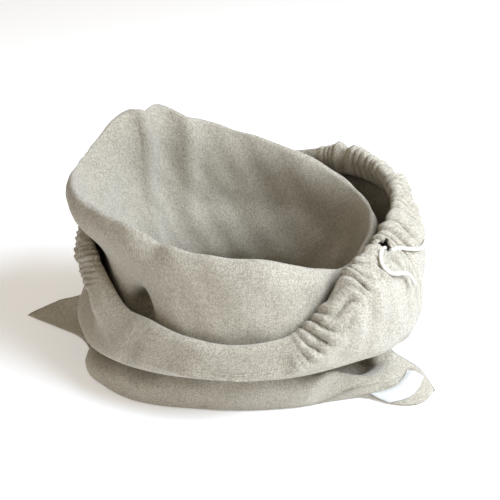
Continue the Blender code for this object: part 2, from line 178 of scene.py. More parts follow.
def along(rows, share):
    """Point at a share of the smooth open curve through the rows."""
    rows = np.asarray(rows, float)
    padded = np.concatenate([[2 * rows[0] - rows[1]], rows, [2 * rows[-1] - rows[-2]]])
    reach = np.concatenate([[0], np.cumsum(np.linalg.norm(np.diff(rows, axis=0), axis=1))])
    place = np.interp(np.asarray(share) * reach[-1], reach, np.arange(len(rows)))
    first = np.minimum(np.floor(place).astype(int), len(rows) - 2)
    f = (place - first)[..., None]
    before, here, after, beyond = (padded[first + step] for step in (0, 1, 2, 3))
    straight = (after - before) * f
    square = (2 * before - 5 * here + 4 * after - beyond) * f**2
    cube = (3 * here - before - 3 * after + beyond) * f**3
    return here + 0.5 * (straight + square + cube)


def cord_tube(name, centre, radius, twist, sides=14):
    """Tube of three twisted strands along a centre line, with soft rounded ends."""
    centre = np.asarray(centre, float)
    reach = np.concatenate([[0], np.cumsum(np.linalg.norm(np.diff(centre, axis=0), axis=1))])
    count = int(reach[-1] / 0.0005)
    marks = np.linspace(0, reach[-1], count)
    line = np.stack([np.interp(marks, reach, centre[:, axis]) for axis in range(3)], -1)
    ways = np.gradient(line, axis=0)
    ways /= np.linalg.norm(ways, axis=1, keepdims=True)
    side = np.cross(ways[0], (0, 0, 1))
    side /= np.linalg.norm(side)
    rings = []
    angle = np.linspace(0, 2 * math.pi, sides, endpoint=False)
    for mark, spot, way in zip(marks, line, ways):
        side = side - way * (side @ way)
        side /= np.linalg.norm(side)
        other = np.cross(way, side)
        lobes = 0.90 + 0.10 * np.abs(np.cos(1.5 * (angle - 2 * math.pi * mark / twist)))
        close = min(mark, reach[-1] - mark)
        width = radius * lobes * math.sqrt(min(1, 0.15 + close / 0.0012))
        rings.append(spot + np.outer(np.cos(angle) * width, side) + np.outer(np.sin(angle) * width, other))
    points = np.concatenate(rings)
    faces = [
        (r * sides + s, r * sides + (s + 1) % sides, (r + 1) * sides + (s + 1) % sides, (r + 1) * sides + s)
        for r in range(count - 1) for s in range(sides)
    ]
    faces.append(tuple(range(sides))[::-1])
    faces.append(tuple(range((count - 1) * sides, count * sides)))
    mesh = bpy.data.meshes.new(name)
    mesh.from_pydata([tuple(p) for p in points], [], faces)
    mesh.update()
    for face in mesh.polygons:
        face.use_smooth = True
    item = bpy.data.objects.new(name, mesh)
    bpy.context.scene.collection.objects.link(item)
    item.data.transform(Matrix.Translation(SHIFT))
    return item


def smooth_line(rows, steps):
    """Points close together on the smooth curve through the rows of a cord end."""
    spots = []
    for beside, down, out in rows:
        turn = SLIT_TURN + math.degrees(beside / 1000 / SLIT_RADIUS)
        spots.append(casing_point(turn, down / 1000, out / 1000))
    return along(spots, np.linspace(0, 1, steps))


cord_skin = bpy.data.materials.new("undyed cotton cord")
cord_skin.use_nodes = True
nodes, links = cord_skin.node_tree.nodes, cord_skin.node_tree.links
shader = nodes["Principled BSDF"]
shader.inputs["Roughness"].default_value = 0.85
shader.inputs["Specular IOR Level"].default_value = 0.2
shader.inputs["Sheen Weight"].default_value = 0.2
place_in = nodes.new("ShaderNodeTexCoord")
fibre = nodes.new("ShaderNodeTexNoise")
fibre.inputs["Scale"].default_value = 900
fibre.inputs["Detail"].default_value = 4
tone = nodes.new("ShaderNodeValToRGB")
tone.color_ramp.elements[0].color = (0.50, 0.465, 0.395, 1)
tone.color_ramp.elements[0].position = 0.3
tone.color_ramp.elements[1].color = (0.68, 0.65, 0.58, 1)
tone.color_ramp.elements[1].position = 0.7
bump = nodes.new("ShaderNodeBump")
bump.inputs["Strength"].default_value = 0.5
bump.inputs["Distance"].default_value = 0.0003
links.new(place_in.outputs["Object"], fibre.inputs["Vector"])
links.new(fibre.outputs["Fac"], tone.inputs["Fac"])
links.new(tone.outputs["Color"], shader.inputs["Base Color"])
links.new(fibre.outputs["Fac"], bump.inputs["Height"])
links.new(bump.outputs["Normal"], shader.inputs["Normal"])

exit_point = Vector(casing_point(SLIT_TURN, TUNNEL_DEPTH, 0.003)) + SHIFT
for name, rows in (("drawstring_long_end", LONG_END), ("drawstring_short_end", SHORT_END)):
    centre = smooth_line(rows, 80)
    cord = cord_tube(name, centre, CORD_WIDTH / 2, CORD_LAY)
    cord.data.materials.append(cord_skin)
    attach(cord, "root")
    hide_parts("drawstring")
step = math.degrees(LONG_END[0][0] / 1000 / SLIT_RADIUS)
hidden_turns = np.linspace(SLIT_TURN - 360 + step, SLIT_TURN - step, 260)
hidden = [casing_point(turn, TUNNEL_DEPTH, 0) for turn in hidden_turns]
run = cord_tube("drawstring_in_casing", hidden, CORD_WIDTH / 2, CORD_LAY, sides=8)
run.data.materials.append(cord_skin)
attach(run, "root")

# Bag cloth
# One length of natural linen in plain weave, folded and seamed at the bottom and sides. It makes the
# floor, the wall, the cuff turned down outside, the roll at its foot and the casing ruched on the cord.
CLOTH_THICKNESS = 0.0012
HEM_DEPTH = 0.020
TUNNEL_WIDTH = 0.0052
PANEL_WIDTH = 0.29
PANEL_GAP = 0.0015
RIM_HALF_WIDTH = 0.0028
EAR_REACH = 0.066
SLIT_HALF_LENGTH = 0.0060
SLIT_HALF_WIDTH = 0.0032
ROUND = 0.52

# Lower body at the same twelve turns
BODY_COLUMNS = ("floor_out", "belly_out", "belly_z", "waist_out", "waist_z", "wall_out")
BODY = {
    0: (-0.004, 0.003, 0.017, -0.005, 0.032, -0.008),
    30: (-0.004, 0.003, 0.016, -0.006, 0.034, -0.007),
    60: (-0.003, 0.003, 0.016, -0.006, 0.036, -0.005),
    90: (-0.003, 0.003, 0.016, -0.006, 0.036, -0.004),
    120: (-0.002, 0.004, 0.016, -0.005, 0.036, -0.001),
    150: (-0.001, 0.005, 0.016, -0.004, 0.034, 0.001),
    180: (0.002, 0.007, 0.014, -0.004, 0.030, -0.004),
    210: (0.012, 0.016, 0.010, -0.011, 0.024, -0.014),
    240: (0.009, 0.012, 0.012, -0.012, 0.029, -0.017),
    270: (-0.006, -0.001, 0.015, -0.008, 0.033, -0.006),
    300: (-0.011, -0.006, 0.016, -0.010, 0.036, -0.006),
    330: (-0.007, -0.002, 0.018, -0.008, 0.036, -0.010),
}

# Bottom seam on the floor, from the right tip to the left tip
SEAM = (
    (0.1275, 0.0040, 0.0006),
    (0.1225, -0.0130, 0.0006),
    (0.1080, -0.0195, 0.0006),
    (0.0900, -0.0180, 0.0006),
    (0.0680, -0.0300, 0.0006),
    (0.0300, -0.0450, 0.0006),
    (-0.0200, -0.0440, 0.0006),
    (-0.0600, -0.0300, 0.0006),
    (-0.1035, -0.0166, 0.0012),
    (-0.1510, -0.0075, 0.0040),
)

# The right ear's side seam, from its tip to the waist
RIGHT_EAR = (
    (0.1275, 0.0040, 0.0022),
    (0.1215, 0.0095, 0.0055),
    (0.1154, 0.0135, 0.0095),
    (0.0988, 0.0139, 0.0170),
    (0.0920, 0.0080, 0.0310),
)
# Groove and ridge in the front of the right ear, measured along it from the side seam
GROOVE_MIDDLE = 0.026
GROOVE_WIDTH = 0.034
RIDGE_MIDDLE = 0.052
RIDGE_WIDTH = 0.018
# The left ear's side seam, from its tip to the waist
LEFT_EAR = (
    (-0.1510, -0.0075, 0.0046),
    (-0.1400, -0.0050, 0.0110),
    (-0.1277, -0.0033, 0.0180),
    (-0.1120, -0.0040, 0.0260),
    (-0.0980, -0.0020, 0.0360),
)

# Names of the lines that the cloth is laid over, from the bottom seam to the hem
KNOTS = (
    "seam", "sole", "floor edge", "belly", "waist", "wall", "rim inside", "rim", "rim outside",
    "cuff", "cuff foot", "pocket", "fold", "fold outside", "roll", "casing foot", "casing",
    "mouth outside", "mouth", "mouth inside", "hem", "hem edge",
)

# Hollow in the cuff above the mouth at the front left, middle and width in degrees
HOLLOW_TURN = 246
HOLLOW_WIDTH = 5.5
HOLLOW_DEPTH = 0.012

# Ruched stretches of the casing in degrees, height of the gathers and their spacing
RUCHES = ((-58, 66, 0.0018, 0.0130), (162, 216, 0.0014, 0.0120))
RIPPLE = 0.0007
RIPPLE_PITCH = 0.034

# Soft folds in the rim: middle and width in degrees, drop and push inwards
RIM_FOLDS = (
    (149, 4.0, 0.001, 0.006),
    (139, 4.0, -0.001, -0.002),
    (129, 4.5, 0.001, 0.005),
    (255, 5.0, 0.004, 0.003),
    (222, 7.0, 0.002, 0.002),
)


def turn_at(share):
    """Turn in degrees at a share of the way round the middle ellipse."""
    angle = np.linspace(0, 2 * math.pi, 1441)
    steps = np.hypot(np.diff(PLAN_A * np.cos(angle)), np.diff(PLAN_B * np.sin(angle)))
    way = np.concatenate([[0], np.cumsum(steps)])
    return np.degrees(np.interp(np.asarray(share) % 1, way / way[-1], angle))


def fade(value):
    """Soft step from 0 to 1."""
    value = np.clip(value, 0, 1)
    return value * value * (3 - 2 * value)


def window(degrees, first, last, edge=9):
    """1 inside a stretch of turns and 0 outside, with soft ends."""
    middle, half = (first + last) / 2, (last - first) / 2
    away = np.abs((np.asarray(degrees) - middle + 180) % 360 - 180)
    return fade((half - away) / edge + 0.5)


def gathers(share, degrees):
    """Height of the gathers above the smooth casing at each column."""
    way = share * ROUND
    height = RIPPLE * (0.5 - 0.5 * np.cos(2 * math.pi * way / RIPPLE_PITCH))
    for first, last, size, pitch in RUCHES:
        wave = 2 * math.pi * (way / pitch + 0.16 * np.sin(2 * math.pi * way / 0.061))
        uneven = 0.8 + 0.2 * np.sin(2 * math.pi * way / 0.043 + 1)
        height = height + size * uneven * window(degrees, first, last) * (0.5 - 0.5 * np.cos(wave))
    return height


def column_knots(share):
    """Knots of the columns at the given shares of the way round, as rows x columns x 3."""
    share = np.asarray(share, float) % 1
    degrees = turn_at(share)
    body = stations(BODY, BODY_COLUMNS, degrees)
    cuff = stations(CUFF, CUFF_COLUMNS, degrees)
    floor = np.full_like(degrees, CLOTH_THICKNESS / 2)
    front = share > 0.5
    from_right = np.where(front, 1 - share, share) / 0.5
    seam = along(SEAM, from_right)
    edge = ring_point(degrees, body["floor_out"], floor)
    belly = ring_point(degrees, body["belly_out"], body["belly_z"])
    waist = ring_point(degrees, body["waist_out"], body["waist_z"])
    low = [seam, (seam + edge) / 2, edge, belly, waist]

    # Ears: the lower knots lean towards a flat corner of doubled cloth
    side = np.where(front, 1.0, -1.0)
    ears = (
        (RIGHT_EAR, from_right * PANEL_WIDTH, (0, 0, 1)),
        (LEFT_EAR, (1 - from_right) * PANEL_WIDTH, (0, -1, 0.1)),
    )
    for ear, distance, apart in ears:
        weight = fade(1 - distance / EAR_REACH)
        spread = PANEL_GAP * np.clip(distance / 0.006, 0, 1) * fade(1.4 - distance / EAR_REACH)
        for place in range(1, 5):
            pull = weight * (0.6 if place == 4 else 1.0)
            target = seam + np.array(ear[place]) - np.array(ear[0])
            if ear is RIGHT_EAR:
                target[:, 2] = np.where(front, target[:, 2], target[:, 2] * weight**3)
            low[place] = low[place] * (1 - pull[:, None]) + target * pull[:, None]
            low[place] = low[place] + (side * spread)[:, None] * np.array(apart)
    # Groove behind the raised front of the right ear
    groove = np.where(front, np.exp(-((from_right * PANEL_WIDTH - GROOVE_MIDDLE) / GROOVE_WIDTH) ** 2), 0.0)
    groove = groove * fade(from_right * PANEL_WIDTH / 0.007)
    ridge = np.where(front, np.exp(-((from_right * PANEL_WIDTH - RIDGE_MIDDLE) / RIDGE_WIDTH) ** 2), 0.0)
    low[3] = low[3] + groove[:, None] * np.array([0.002, -0.004, -0.0045])
    low[3] = low[3] + ridge[:, None] * np.array([0, 0, 0.009])
    low[4] = low[4] + groove[:, None] * np.array([-0.009, 0.010, -0.031])
    low[4][:, 2] = np.maximum(low[4][:, 2], 0.0050)
    for knot in low:
        knot[:, 2] = np.maximum(knot[:, 2], CLOTH_THICKNESS / 2)

    drop = np.zeros_like(degrees)
    push = np.zeros_like(degrees)
    for middle, width, fall, inward in RIM_FOLDS:
        bump = hump(degrees, middle, width)
        drop = drop + fall * bump
        push = push + inward * bump
    rim_z = cuff["rim_z"] - drop
    rim_out = cuff["rim_out"] - push
    tall = rim_z - cuff["fold_z"]
    hollow = HOLLOW_DEPTH * hump(degrees, HOLLOW_TURN, HOLLOW_WIDTH)

    cuff["mouth_z"] = cuff["mouth_z"] - mouth_sag(degrees)
    lean = np.radians(cuff["lean"])
    down = np.stack([np.sin(lean), -np.cos(lean)])
    square = np.stack([np.cos(lean), np.sin(lean)])
    top = np.stack([cuff["mouth_out"], cuff["mouth_z"]])
    half_tunnel = TUNNEL_WIDTH / 2
    lift = gathers(share, degrees)
    fold = np.stack([cuff["fold_out"], cuff["fold_z"]])
    fold_outside = fold + np.array([[0.003], [0.005]])
    foot = top + square * (half_tunnel + lift) + down * HEM_DEPTH
    roll = (fold_outside + foot) / 2
    roll[0] = cuff["roll_out"] + 0.55 * lift
    upper = [
        (body["wall_out"] - 0.5 * push, (body["waist_z"] + rim_z) / 2),
        (rim_out - RIM_HALF_WIDTH, rim_z - 0.0055),
        (rim_out, rim_z),
        (rim_out + RIM_HALF_WIDTH, rim_z - 0.0055),
        (cuff["flap_out"] - 0.4 * push, cuff["fold_z"] + 0.62 * tall),
        (cuff["flap_low"] - hollow, cuff["fold_z"] + 0.28 * tall),
        fold + np.array([[-0.008], [0.004]]),
        fold + np.array([[-0.003], [0.0]]),
        fold_outside,
        roll,
        foot,
        top + square * (half_tunnel + 0.85 * lift) + down * 0.0105,
        top + square * (half_tunnel + 0.4 * lift) + down * 0.0030,
        top - down * 0.30 * lift,
        top - square * (half_tunnel + 0.1 * lift) + down * 0.0030,
        top - square * (half_tunnel + 0.15 * lift) + down * 0.0110,
        top - square * half_tunnel + down * HEM_DEPTH,
    ]
    return np.array(low + [ring_point(degrees, out, height) for out, height in upper])


def row_points(knots, places):
    """Points at the given places, counted in knots, on the smooth curve down every column."""
    steps = np.linalg.norm(np.diff(knots, axis=0), axis=2)[..., None]
    steps = np.maximum(steps, 0.0004)
    slopes = np.diff(knots, axis=0) / steps
    ways = np.empty_like(knots)
    ways[1:-1] = (slopes[:-1] * steps[1:] + slopes[1:] * steps[:-1]) / (steps[1:] + steps[:-1])
    ways[0], ways[-1] = slopes[0], slopes[-1]
    first = np.minimum(np.floor(places).astype(int), len(knots) - 2)
    f = (places - first)[:, None, None]
    step = steps[first]
    start = knots[first] * (2 * f**3 - 3 * f**2 + 1) + ways[first] * step * (f**3 - 2 * f**2 + f)
    end = knots[first + 1] * (3 * f**2 - 2 * f**3) + ways[first + 1] * step * (f**3 - f**2)
    points = start + end
    points[..., 2] = np.maximum(points[..., 2], CLOTH_THICKNESS / 2)
    return points


# Fine puckers: first and last turn, height, pitch, length below the hem, slant, sharpness, unevenness
FINE_RUCHES = (
    (-52, 74, 0.0040, 0.0052, 0.010, 0.60, 0.60, 0.6),
    (165, 226, 0.0024, 0.0046, 0.024, -1.1, 1.00, 0.45),
)
# Swells of the cloth: waves round the bag, waves per metre down it, height and start
CUFF_WAVES = ((3, 5, 0.0007, 0.4), (7, -9, 0.0005, 2.1), (12, 16, 0.0004, 4.0), (19, -24, 0.00025, 1.3))
ROLL_WAVES = ((4, 14, 0.0006, 1.7), (9, -20, 0.0006, 0.2), (15, 26, 0.0004, 3.3), (26, 40, 0.0002, 5.0))
BODY_WAVES = ((5, 18, 0.0007, 2.6), (8, 30, 0.0005, 0.9), (14, -26, 0.0004, 4.4), (22, 44, 0.0002, 1.1))
chance = np.random.default_rng(12)


def waves(table, share, reach):
    """Soft uneven swell of the cloth from a few crossed waves."""
    return sum(
        height * np.sin(2 * math.pi * (turns * share + per_metre * reach) + start)
        for turns, per_metre, height, start in table
    )


def fine_gathers(share, degrees, below):
    """Sharp puckers drawn up by the cord: rounded ribs with narrow valleys, each of its own length."""
    way = share * ROUND
    total = np.zeros(np.broadcast(share, below).shape)
    for first, last, height, pitch, length, slant, crest, uneven in FINE_RUCHES:
        slide = slant * window(degrees, 292, 352, 30) if first < 0 else slant
        phase = (way - slide * below) / pitch
        wander = 0.75 * np.sin(2 * math.pi * way / 0.0347) + 0.4 * np.sin(2 * math.pi * way / 0.0173 + 2)
        phase = phase + uneven * wander
        phase = phase + 9 * (below - 0.010) * np.sin(2 * math.pi * way / 0.052 + 1)
        number = np.floor(phase).astype(int) % RIB_KINDS
        tall = chance_rows[0][number]
        long = length * chance_rows[1][number]
        past = np.clip(below - HEM_DEPTH * 0.85, 0, None)
        close, far = np.exp(-((past / 0.005) ** 2)), np.exp(-((past / long) ** 2))
        rib = tall * np.abs(np.sin(math.pi * phase)) ** crest * (0.66 * close + 0.34 * far) - 0.15 * close
        total = total + height * rib * window(degrees, first, last)
    return total


# Height and length of each rib
RIB_KINDS = 97
chance_rows = (chance.uniform(0.55, 1.25, RIB_KINDS), 0.22 + 1.2 * chance.uniform(0, 1, RIB_KINDS) ** 2)
COLUMNS_ROUND = 224


def fine_columns():
    """Coarse columns round the bag, and how many finer ones each is cut into on the roll and casing."""
    coarse = np.linspace(0, 1, COLUMNS_ROUND + 1)[:-1]
    middles = turn_at(coarse + 0.5 / COLUMNS_ROUND)
    cuts = np.where(window(middles, -52, 74) > 0.05, 4, np.where(window(middles, 165, 228) > 0.05, 5, 1))
    fine = [start + np.arange(count) / count / COLUMNS_ROUND for start, count in zip(coarse, cuts)]
    return np.concatenate(fine), np.concatenate([[0], np.cumsum(cuts)[:-1]])


def fine_rows(columns):
    """Rows down the cloth, about 2.6 mm apart and closer on the casing."""
    knots = column_knots(columns[::4])
    steps = np.linalg.norm(np.diff(knots, axis=0), axis=2).mean(axis=1)
    places = []
    for place, step in enumerate(steps):
        name = KNOTS[place]
        pitch = 0.0016 if name in ("casing foot", "casing", "mouth outside", "mouth") else 0.0026
        count = max(1, round(step / pitch))
        places.extend(place + k / count for k in range(count))
    return np.array(places + [len(steps)])


shares, coarse_columns = fine_columns()
places = fine_rows(shares)
grid = row_points(column_knots(shares), places)
row_steps = np.linalg.norm(np.diff(grid, axis=0), axis=2)
reach = np.concatenate([np.zeros((1, len(shares))), np.cumsum(row_steps, axis=0)])
mouth_row = int(np.argmin(np.abs(places - KNOTS.index("mouth"))))
below = np.abs(reach[mouth_row] - reach)
turns = turn_at(shares)
from_right = np.where(shares > 0.5, 1 - shares, shares) / 0.5
front = shares > 0.5


def square_to(points):
    """Unit vectors square to the cloth, pointing out of the roll."""
    down = np.gradient(points, axis=0)
    over = np.roll(points, -1, axis=1) - np.roll(points, 1, axis=1)
    way = np.cross(over, down)
    length = np.linalg.norm(way, axis=2, keepdims=True)
    way = way / np.maximum(length, 1e-12)
    roll_row = int(np.argmin(np.abs(places - KNOTS.index("roll"))))
    if (way[roll_row] * outward(turns)).sum() < 0:
        way = -way
    return way


def between(first, last, soft=0.6):
    """1 on the rows between two knots and 0 elsewhere, with soft ends."""
    low, high = KNOTS.index(first), KNOTS.index(last)
    return (fade((places - low) / soft + 0.5) * fade((high - places) / soft + 0.5))[:, None]


def spot_at(degrees, width, place, tall):
    """Soft round spot at a turn and a place down the cloth."""
    return hump(turns, degrees, width)[None, :] * np.exp(-(((places - place) / tall) ** 2))[:, None]


lift = waves(CUFF_WAVES, shares[None, :], reach) * between("rim", "cuff foot")
lift = lift + waves(ROLL_WAVES, shares[None, :], reach) * between("fold outside", "mouth outside")
lift = lift + waves(BODY_WAVES, shares[None, :], reach) * between("floor edge", "wall")
lift = lift + waves(CUFF_WAVES, shares[None, :], reach) * between("wall", "rim")
ruche = fine_gathers(shares[None, :], turns[None, :], below)
lift = lift + ruche * (between("fold outside", "mouth") + 0.5 * between("mouth", "hem edge"))
# Puckers pulled into the back left of the wall and over its rim
pleats = (0.5 + 0.5 * np.cos(2 * math.pi * shares * ROUND / 0.0052)) * hump(turns, 150, 6.5)
lift = lift + 0.0016 * pleats[None, :] * between("wall", "rim", 1.0)
# Small deep dent in the middle of the cuff's hollow
lift = lift + 0.0090 * spot_at(HOLLOW_TURN, 4, KNOTS.index("cuff") + 0.66, 0.28)
# The stitch line pinches the left end of the casing
stitch_line = np.exp(-(((below - 0.023) / 0.005) ** 2)) * (reach < reach[mouth_row])
lift = lift - 0.0022 * window(turns, 188, 226)[None, :] * stitch_line
# Crease where the belly folds over the flat right ear, with its soft ridge
beyond = from_right[None, :] * PANEL_WIDTH - 0.050
over_crease = 0.323 * beyond + 0.947 * (reach - 0.0075)
on_crease = -0.947 * beyond + 0.323 * (reach - 0.0075)
where = fade(on_crease / 0.010 + 0.5) * fade((0.050 - on_crease) / 0.010) * front[None, :] * (reach < 0.06)
lift = lift + where * 0.0030 * np.exp(-(((over_crease - 0.0065) / 0.0050) ** 2))
lift = lift - where * 0.0020 * np.exp(-((over_crease / 0.0020) ** 2))
# Deep pocket between the right ear's ridge and the roll
pocket = np.exp(-(((from_right * PANEL_WIDTH - 0.022) / 0.016) ** 2)) * front
lift = lift - 0.0050 * pocket[None, :] * np.exp(-(((places - 3.75) / 0.38) ** 2))[:, None]
# The side seams stand a little proud of the panels
seam_near = np.minimum(from_right, 1 - from_right) * PANEL_WIDTH
on_seam = 0.0007 * np.exp(-(((seam_near - 0.0025) / 0.0016) ** 2))
on_seam = on_seam - 0.0006 * np.exp(-(((seam_near - 0.0058) / 0.0010) ** 2))
lift = lift + on_seam[None, :] * between("sole", "mouth outside")
fixed = fade((grid[..., 2] - 0.0008) / 0.004)
grid = grid + square_to(grid) * (lift * fixed)[..., None]
grid[..., 2] = np.maximum(grid[..., 2], CLOTH_THICKNESS / 2)

rows, columns = grid.shape[:2]
fold_row = int(np.argmin(np.abs(places - KNOTS.index("fold"))))
numbers = np.arange(rows * columns).reshape(rows, columns)
mirror = {round(share, 6): column for column, share in enumerate(shares)}
for column in coarse_columns:
    if shares[column] > 0.5:
        numbers[0, column] = numbers[0, mirror[round(1 - shares[column], 6)]]
# The slit for the cord is left open in the outer side of the casing
beside = np.radians((turns - SLIT_TURN + 180) % 360 - 180) * SLIT_RADIUS
faces, corner_marks = [], []


def add_face(spots):
    """One face from rows and columns, with its place on the flat cloth."""
    faces.append(tuple(int(numbers[row, column % columns]) for row, column in spots))
    corner_marks.extend(
        (shares[column % columns] + (column >= columns), reach[row, column % columns])
        for row, column in spots
    )


bounds = list(coarse_columns) + [columns]
for row in range(fold_row):
    for start, end in zip(bounds, bounds[1:]):
        add_face([(row, start), (row, end), (row + 1, end), (row + 1, start)])
for start, end in zip(bounds, bounds[1:]):
    fine_side = [(fold_row + 1, column) for column in range(end, start - 1, -1)]
    add_face([(fold_row, start), (fold_row, end)] + fine_side)
for row in range(fold_row + 1, rows - 1):
    for column in range(columns):
        if places[row] > KNOTS.index("casing foot") and row < mouth_row:
            wide = (beside[column] + beside[(column + 1) % columns]) / 2 / SLIT_HALF_LENGTH
            high = (below[row, column] - TUNNEL_DEPTH) / SLIT_HALF_WIDTH
            if wide * wide + high * high < 1:
                continue
        add_face([(row, column), (row, column + 1), (row + 1, column + 1), (row + 1, column)])
used = np.zeros(rows * columns, bool)
used[np.concatenate(faces)] = True
renumber = np.cumsum(used) - 1
flat = grid.reshape(-1, 3)[used] + np.array(SHIFT)
cloth_mesh = bpy.data.meshes.new("bag_cloth_draped")
used_faces = [tuple(int(renumber[n]) for n in face) for face in faces]
cloth_mesh.from_pydata([tuple(p) for p in flat], [], used_faces)
weave_map = cloth_mesh.uv_layers.new(name="cloth")
weave_map.data.foreach_set("uv", (np.array(corner_marks) * np.array([0.6, 1.0])).ravel())
for face in cloth_mesh.polygons:
    face.use_smooth = True
cloth = bpy.data.objects.new("bag_cloth_draped", cloth_mesh)
bpy.context.scene.collection.objects.link(cloth)
thick = cloth.modifiers.new("thickness", "SOLIDIFY")
thick.thickness = 0.0010
thick.offset = 0
thick.use_even_offset = False

linen = bpy.data.materials.new("natural linen")
linen.use_nodes = True
nodes, links = linen.node_tree.nodes, linen.node_tree.links
shader = nodes["Principled BSDF"]
shader.inputs["Roughness"].default_value = 0.9
shader.inputs["Specular IOR Level"].default_value = 0.15
shader.inputs["Sheen Weight"].default_value = 0.25
shader.inputs["Sheen Roughness"].default_value = 0.6
cloth_place = nodes.new("ShaderNodeUVMap")
cloth_place.uv_map = "cloth"


def joined(source, operation, *others):
    """Result of one math step on a socket and numbers or other sockets."""
    made = nodes.new("ShaderNodeMath")
    made.operation = operation
    links.new(source, made.inputs[0])
    for count, other in enumerate(others):
        if isinstance(other, (int, float)):
            made.inputs[count + 1].default_value = other
        else:
            links.new(other, made.inputs[count + 1])
    return made.outputs[0]


def stretched_noise(scale, detail=2.0):
    """Noise stretched along one direction of the cloth."""
    mapping = nodes.new("ShaderNodeMapping")
    mapping.inputs["Scale"].default_value = scale
    links.new(cloth_place.outputs["UV"], mapping.inputs["Vector"])
    noise = nodes.new("ShaderNodeTexNoise")
    noise.inputs["Scale"].default_value = 1.0
    noise.inputs["Detail"].default_value = detail
    links.new(mapping.outputs["Vector"], noise.inputs["Vector"])
    return noise.outputs["Fac"]


parts_of = nodes.new("ShaderNodeSeparateXYZ")
links.new(cloth_place.outputs["UV"], parts_of.inputs[0])
across, down_cloth = parts_of.outputs[0], parts_of.outputs[1]
YARN = 0.00062


def crossing_tone(source_a, source_b):
    """One random tone for every crossing of two yarns."""
    made = nodes.new("ShaderNodeCombineXYZ")
    links.new(joined(source_a, "FLOOR"), made.inputs[0])
    links.new(joined(source_b, "FLOOR"), made.inputs[1])
    noise = nodes.new("ShaderNodeTexWhiteNoise")
    noise.noise_dimensions = "2D"
    links.new(made.outputs[0], noise.inputs["Vector"])
    return noise.outputs["Value"]


warp_count = joined(across, "DIVIDE", YARN)
weft_count = joined(down_cloth, "DIVIDE", YARN)
over_wave = joined(joined(warp_count, "MULTIPLY", math.pi), "SINE")
down_wave = joined(joined(weft_count, "MULTIPLY", math.pi), "SINE")
check = joined(over_wave, "MULTIPLY", down_wave)
over_clamped = nodes.new("ShaderNodeClamp")
links.new(joined(joined(check, "MULTIPLY", 3.0), "ADD", 0.5), over_clamped.inputs[0])
under = joined(over_clamped.outputs[0], "MULTIPLY_ADD", -1.0, 1.0)
warp_round = joined(joined(over_wave, "ABSOLUTE"), "MULTIPLY", over_clamped.outputs[0])
weave = joined(warp_round, "ADD", joined(joined(down_wave, "ABSOLUTE"), "MULTIPLY", under))
crossing = crossing_tone(warp_count, weft_count)
slubs = joined(stretched_noise((150, 1600, 1)), "ADD", stretched_noise((1600, 150, 1)))
cloudy = stretched_noise((30, 30, 1), 3.0)
mix = joined(joined(crossing, "MULTIPLY", 0.46), "ADD", joined(slubs, "MULTIPLY", 0.34))
mix = joined(mix, "ADD", joined(weave, "MULTIPLY", 0.20))
mix = joined(mix, "ADD", joined(cloudy, "MULTIPLY", 0.12))
mix = joined(mix, "ADD", -0.25)
tone = nodes.new("ShaderNodeValToRGB")
tone.color_ramp.elements[0].position = 0.0
tone.color_ramp.elements[0].color = (0.155, 0.136, 0.103, 1)
tone.color_ramp.elements[1].position = 1.0
tone.color_ramp.elements[1].color = (0.600, 0.540, 0.428, 1)
links.new(mix, tone.inputs["Fac"])
links.new(tone.outputs["Color"], shader.inputs["Base Color"])
height = joined(joined(weave, "MULTIPLY", 0.6), "ADD", joined(slubs, "MULTIPLY", 0.15))
height = joined(height, "ADD", joined(crossing, "MULTIPLY", 0.30))
bump = nodes.new("ShaderNodeBump")
bump.inputs["Strength"].default_value = 0.6
bump.inputs["Distance"].default_value = 0.0005
links.new(height, bump.inputs["Height"])
links.new(bump.outputs["Normal"], shader.inputs["Normal"])
cloth.data.materials.append(linen)
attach(cloth, "root")
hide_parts("bag_cloth")

# Casing stitches
# One row of lock stitches in linen-coloured thread. It goes all the way round and closes the casing
# about 2 cm below the mouth.
normals = square_to(grid)


def cloth_spot(share, below_mouth, out):
    """Point and frame on the outer side of the casing at a share of the way round."""
    column = int(np.argmin(np.abs(shares - share % 1)))
    options = np.arange(mouth_row)
    row = options[np.argmin(np.abs(below[:mouth_row, column] - below_mouth))]
    return grid[row, column] + normals[row, column] * out, normals[row, column]


# Rings of one stitch: place along it, width and height
STITCH_RINGS = ((-0.5, 0.3, -0.2), (-0.3, 1.0, 0.8), (0.0, 1.1, 1.0), (0.3, 1.0, 0.8), (0.5, 0.3, -0.2))


def stitch_mesh(name, spots, length, width, skin):
    """Short raised threads, one from each pair of points."""
    points, faces = [], []
    for start, end, square in spots:
        way = end - start
        middle = (start + end) / 2
        size = np.linalg.norm(way)
        way = way / max(size, 1e-9)
        side = np.cross(square, way)
        first = len(points)
        for place, wide, high in STITCH_RINGS:
            for turn in range(6):
                angle = 2 * math.pi * turn / 6
                spot = middle + way * place * length + side * math.cos(angle) * width * wide / 2
                rise = math.sin(angle) * width * wide / 2 + (high - 0.4) * width * 0.4
                points.append(tuple(spot + square * rise))
        for ring in range(4):
            for turn in range(6):
                a, b = first + ring * 6 + turn, first + ring * 6 + (turn + 1) % 6
                faces.append((a, b, b + 6, a + 6))
        faces.append(tuple(first + k for k in range(6))[::-1])
        faces.append(tuple(first + 24 + k for k in range(6)))
    mesh = bpy.data.meshes.new(name)
    mesh.from_pydata(points, [], faces)
    for face in mesh.polygons:
        face.use_smooth = True
    item = bpy.data.objects.new(name, mesh)
    bpy.context.scene.collection.objects.link(item)
    mesh.transform(Matrix.Translation(SHIFT))
    mesh.materials.append(skin)
    return item


